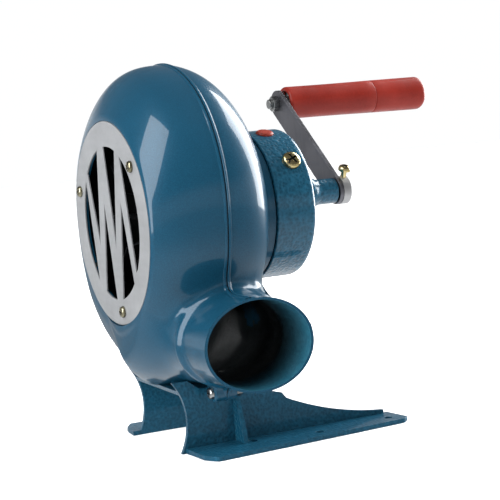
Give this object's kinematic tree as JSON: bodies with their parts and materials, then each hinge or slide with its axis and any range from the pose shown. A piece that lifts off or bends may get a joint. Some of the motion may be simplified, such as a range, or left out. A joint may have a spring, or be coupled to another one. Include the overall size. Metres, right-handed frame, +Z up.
{
  "type": "hand-cranked forge blower",
  "caption": "Hand-cranked forge blower: scroll housing with slotted intake plate and oval outlet, geared crank with a turning grip, on a flanged sheet stand.",
  "frame": {"origin": "midway between the two middle bench screw holes, on the underside of the stand's foot flanges", "axes": "+Z up; X along the fan and crank axes, with the intake plate facing -X and the crank on the +X side; the outlet blows towards -Y"},
  "size_m": [0.295, 0.2201, 0.2536],
  "materials": {
    "housing_paint": "glossy metallic steel-blue paint on a cast shell",
    "hammer_paint": "blue hammertone paint",
    "stand_paint": "blue hammertone paint on pressed steel",
    "plate_steel": "light satin zinc sheet",
    "yellow_zinc": "yellow zinc plating",
    "zinc_fastener": "bright zinc plating",
    "arm_steel": "dull grey plated steel",
    "shaft_steel": "ground steel",
    "gear_steel": "cut steel, lightly greased",
    "bronze": "sintered bronze bush",
    "impeller_alloy": "dark aluminium sheet",
    "plug_red": "red plastic",
    "grip_red": "satin brick-red plastic"
  },
  "bodies": {
    "blower": {"front_shell": "housing_paint", "rear_shell": "housing_paint", "shell_clamp_screws": "zinc_fastener", "shell_clamp_nuts": "zinc_fastener", "intake_plate": "plate_steel", "intake_plate_screws": "yellow_zinc", "stand": "stand_paint", "stand_bolts": "zinc_fastener", "stand_washers": "zinc_fastener", "gear_cover": "hammer_paint", "gear_cover_screws": "yellow_zinc", "oil_plug": "plug_red", "fan_bush": "bronze", "crank_bushes": "bronze", "idler_axle": "shaft_steel", "idler_washers": "shaft_steel"},
    "impeller": {"fan_shaft": "shaft_steel", "impeller_hub": "impeller_alloy", "impeller_disc": "impeller_alloy", "impeller_blades": "impeller_alloy", "impeller_nut": "zinc_fastener", "fan_pinion": "gear_steel"},
    "idler": {"idler_gear": "gear_steel", "idler_pinion": "gear_steel"},
    "crank": {"crank_shaft": "shaft_steel", "crank_gear": "gear_steel", "crank_hub": "arm_steel", "hub_set_screw": "yellow_zinc", "crank_arm": "arm_steel", "grip_spindle": "shaft_steel", "spindle_nut": "zinc_fastener", "spindle_jam_nut": "zinc_fastener", "grip_spacer": "zinc_fastener", "grip_washer": "zinc_fastener"},
    "grip": {"grip_sleeve": "grip_red", "grip_cap": "grip_red"}
  },
  "joints": [
    {"name": "crank_spin", "type": "hinge", "parent": "blower", "child": "crank", "pos_m": [0.03, 0, 0.157], "axis": [1, 0, 0], "continuous": true},
    {"name": "idler_spin", "type": "hinge", "parent": "blower", "child": "idler", "pos_m": [0, -0.02193, 0.14125], "axis": [1, 0, 0], "continuous": true},
    {"name": "impeller_spin", "type": "hinge", "parent": "blower", "child": "impeller", "pos_m": [-0.04, 0, 0.151], "axis": [1, 0, 0], "continuous": true},
    {"name": "grip_spin", "type": "hinge", "parent": "crank", "child": "grip", "pos_m": [0.12, 0.07983, 0.2205], "axis": [1, 0, 0], "continuous": true}
  ],
  "couplings": [
    {"joint": "idler_spin", "follows": "crank_spin", "ratio": -3.5},
    {"joint": "impeller_spin", "follows": "crank_spin", "ratio": 10.5}
  ]
}
